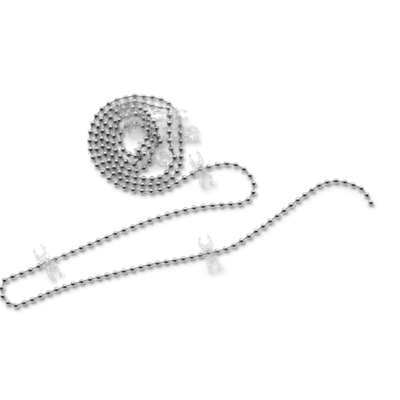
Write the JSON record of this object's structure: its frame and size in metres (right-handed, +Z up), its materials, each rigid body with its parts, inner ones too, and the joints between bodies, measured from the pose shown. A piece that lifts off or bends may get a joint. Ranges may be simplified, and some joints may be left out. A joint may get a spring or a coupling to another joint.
{
  "type": "vertical blind bottom chain",
  "caption": "Loose length of metal ball chain with clear snap clips that link the bottom weights of vertical blind vanes, lying partly coiled on a flat top.",
  "frame": {"origin": "on the table, under the middle of the object's bounding box", "axes": "+X to the free tail's side, +Y to the coil's side, +Z up from the table"},
  "size_m": [0.1482, 0.0888, 0.0093],
  "materials": {
    "chain_metal": "bright nickel plate",
    "clip_plastic": "clear moulded"
  },
  "bodies": {
    "root": {"chain_run_01": "chain_metal", "chain_run_02": "chain_metal", "chain_run_03": "chain_metal", "chain_run_04": "chain_metal", "chain_run_05": "chain_metal", "chain_run_06": "chain_metal", "chain_run_07": "chain_metal", "chain_run_08": "chain_metal", "chain_run_09": "chain_metal", "chain_run_10": "chain_metal", "chain_run_11": "chain_metal", "chain_run_12": "chain_metal", "chain_run_13": "chain_metal", "chain_run_14": "chain_metal", "chain_run_15": "chain_metal", "chain_run_16": "chain_metal", "chain_run_17": "chain_metal", "chain_run_18": "chain_metal", "chain_run_19": "chain_metal", "chain_run_20": "chain_metal", "chain_run_21": "chain_metal", "chain_run_22": "chain_metal", "chain_run_23": "chain_metal", "chain_run_24": "chain_metal", "chain_run_25": "chain_metal", "chain_run_26": "chain_metal", "chain_run_27": "chain_metal", "chain_run_28": "chain_metal", "chain_run_29": "chain_metal", "chain_run_30": "chain_metal", "chain_run_31": "chain_metal", "chain_run_32": "chain_metal", "chain_run_33": "chain_metal", "chain_run_34": "chain_metal", "chain_run_35": "chain_metal", "chain_run_36": "chain_metal", "chain_run_37": "chain_metal", "chain_run_38": "chain_metal", "chain_run_39": "chain_metal", "chain_run_40": "chain_metal", "chain_run_41": "chain_metal", "chain_run_42": "chain_metal", "chain_run_43": "chain_metal", "chain_run_44": "chain_metal", "chain_run_45": "chain_metal", "chain_run_46": "chain_metal", "chain_run_47": "chain_metal", "vane_clip_1": "clip_plastic", "vane_clip_2": "clip_plastic", "vane_clip_3": "clip_plastic", "vane_clip_4": "clip_plastic", "vane_clip_5": "clip_plastic", "vane_clip_6": "clip_plastic", "vane_clip_7": "clip_plastic"}
  },
  "joints": []
}
